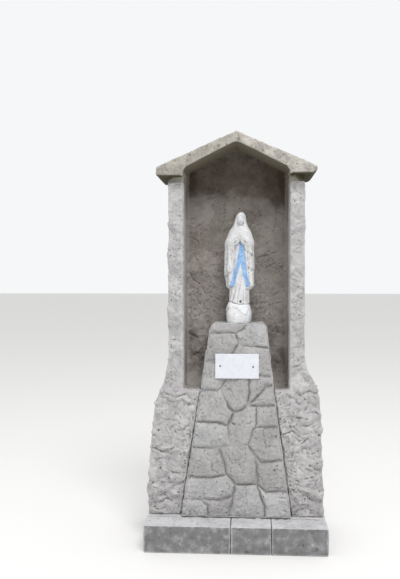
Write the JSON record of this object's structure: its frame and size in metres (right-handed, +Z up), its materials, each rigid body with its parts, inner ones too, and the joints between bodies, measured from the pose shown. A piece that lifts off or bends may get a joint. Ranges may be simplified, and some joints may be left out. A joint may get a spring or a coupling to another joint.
{
  "type": "wayside shrine",
  "caption": "Rendered masonry wayside shrine: plinth, flared flanks, niche under a gabled slab roof, and a stone-faced pedestal with a bare plaque and a robed statue on a rocky base.",
  "frame": {"origin": "on the ground under the middle of the plinth", "axes": "+Z up, the niche opens towards -Y, +X to the right of someone facing it"},
  "size_m": [1.015, 0.6, 2.334],
  "materials": {
    "plinth_concrete": "cast concrete kerbstones, pale and worn on top, grey and stained on the front",
    "cement_render": "rough grey cement render thrown and moulded by hand, pitted and cracked",
    "niche_render": "brown-grey moulded render, darker and damp-stained towards the top",
    "bed_mortar": "bedding mortar, dark with moss and dirt",
    "roof_concrete": "cast concrete slab, weathered, with lichen spots and pinholes",
    "pedestal_render": "cement render moulded as stones with recessed joints",
    "plaque_marble": "polished white marble with a bevelled edge",
    "statue_paint": "white painted casting with a light blue sash, slightly dirty in the folds"
  },
  "bodies": {
    "root": {"plinth_slab": "plinth_concrete", "kerb_left": "plinth_concrete", "kerb_middle": "plinth_concrete", "kerb_right": "plinth_concrete", "flank_left": "cement_render", "flank_right": "cement_render", "core_wall": "cement_render", "jamb_left": "cement_render", "jamb_right": "cement_render", "back_wall": "niche_render", "gable_wall": "niche_render", "bed_left": "bed_mortar", "bed_right": "bed_mortar", "eave_left": "roof_concrete", "eave_right": "roof_concrete", "roof_left": "roof_concrete", "roof_right": "roof_concrete", "pedestal_core": "pedestal_render", "pedestal_stones": "pedestal_render", "plaque": "plaque_marble", "statue_rock": "statue_paint", "statue_figure": "statue_paint"}
  },
  "joints": []
}
